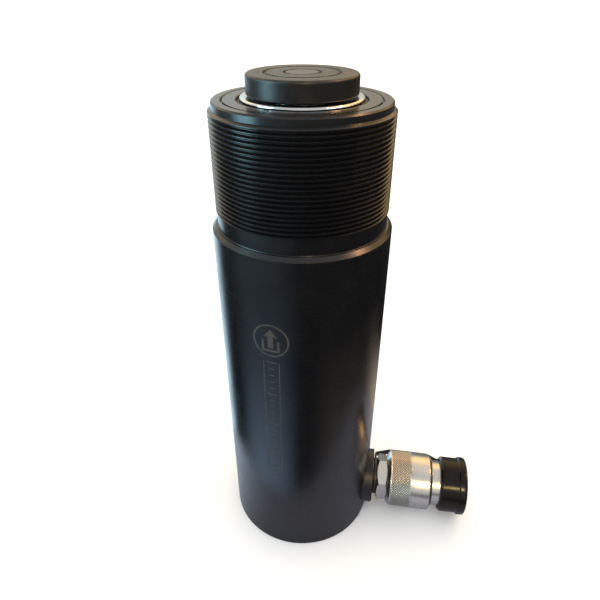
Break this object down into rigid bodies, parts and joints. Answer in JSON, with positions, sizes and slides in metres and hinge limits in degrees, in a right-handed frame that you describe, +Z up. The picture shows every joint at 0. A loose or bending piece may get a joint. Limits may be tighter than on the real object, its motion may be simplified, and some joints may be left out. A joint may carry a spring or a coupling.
{
  "type": "telescopic hydraulic cylinder",
  "caption": "Two-stage telescopic hydraulic cylinder with a collar-threaded steel barrel, hollow chromed first stage, grooved saddle and a capped side quick coupler.",
  "frame": {"origin": "centre of the barrel's flat base", "axes": "+Z up along the cylinder's axis, the way it extends; +X towards the oil port and its coupler"},
  "size_m": [0.1518, 0.0888, 0.2704],
  "materials": {
    "black_oxide_steel": "black oxide, oiled, semi-gloss",
    "hard_chrome": "ground and polished",
    "saddle_steel": "black oxide, turned, satin",
    "zinc_plated_steel": "bright zinc plate",
    "ball_steel": "polished",
    "spring_steel": "drawn wire",
    "cap_rubber": "moulded, satin",
    "seal_rubber": "moulded, satin",
    "seal_polyurethane": "cast polyurethane",
    "white_ptfe": "turned PTFE",
    "bearing_composite": "cloth-filled phenolic"
  },
  "bodies": {
    "cylinder": {"barrel": "black_oxide_steel", "gland_nut": "black_oxide_steel", "gland_guide_ring": "bearing_composite", "gland_wiper": "seal_rubber", "port_boss": "black_oxide_steel", "coupler_nipple": "zinc_plated_steel", "coupler_core": "zinc_plated_steel", "core_o_ring": "seal_rubber", "sleeve_snap_ring": "spring_steel", "check_spring": "spring_steel", "cap_strap": "cap_rubber"},
    "stage_1": {"stage_1_tube": "hard_chrome", "stage_1_seal": "seal_polyurethane", "stage_1_backup_ring": "white_ptfe", "stage_1_wear_ring": "bearing_composite", "stage_1_gland": "hard_chrome", "stage_1_guide_ring": "bearing_composite", "stage_1_wiper": "seal_rubber"},
    "stage_2": {"stage_2_plunger": "hard_chrome", "stage_2_seal": "seal_polyurethane", "stage_2_backup_ring": "white_ptfe", "stage_2_wear_ring": "bearing_composite"},
    "saddle": {"saddle": "saddle_steel", "saddle_snap_ring": "spring_steel"},
    "coupler_sleeve": {"coupler_sleeve": "zinc_plated_steel"},
    "check_ball": {"check_ball": "ball_steel"},
    "dust_cap": {"dust_cap": "cap_rubber"}
  },
  "joints": [
    {"name": "stage_1_extend", "type": "slide", "parent": "cylinder", "child": "stage_1", "axis": [0, 0, 1], "range_m": [0, 0.1828]},
    {"name": "stage_2_extend", "type": "slide", "parent": "stage_1", "child": "stage_2", "axis": [0, 0, 1], "range_m": [0, 0.1828]},
    {"name": "saddle_turn", "type": "hinge", "parent": "stage_2", "child": "saddle", "pos_m": [0, 0, 0.2618], "axis": [0, 0, 1], "continuous": true},
    {"name": "sleeve_spin", "type": "hinge", "parent": "cylinder", "child": "coupler_sleeve", "pos_m": [0.07, 0, 0.02], "axis": [1, 0, 0], "continuous": true},
    {"name": "check_ball_open", "type": "slide", "parent": "cylinder", "child": "check_ball", "axis": [1, 0, 0], "range_m": [-0.003, 0], "stiffness_N_per_m": 500, "springref_m": 0.004, "deforming": ["check_spring"]},
    {"name": "cap_pull", "type": "slide", "parent": "cylinder", "child": "dust_cap", "axis": [1, 0, 0], "range_m": [0, 0.015], "deforming": ["cap_strap"]}
  ]
}
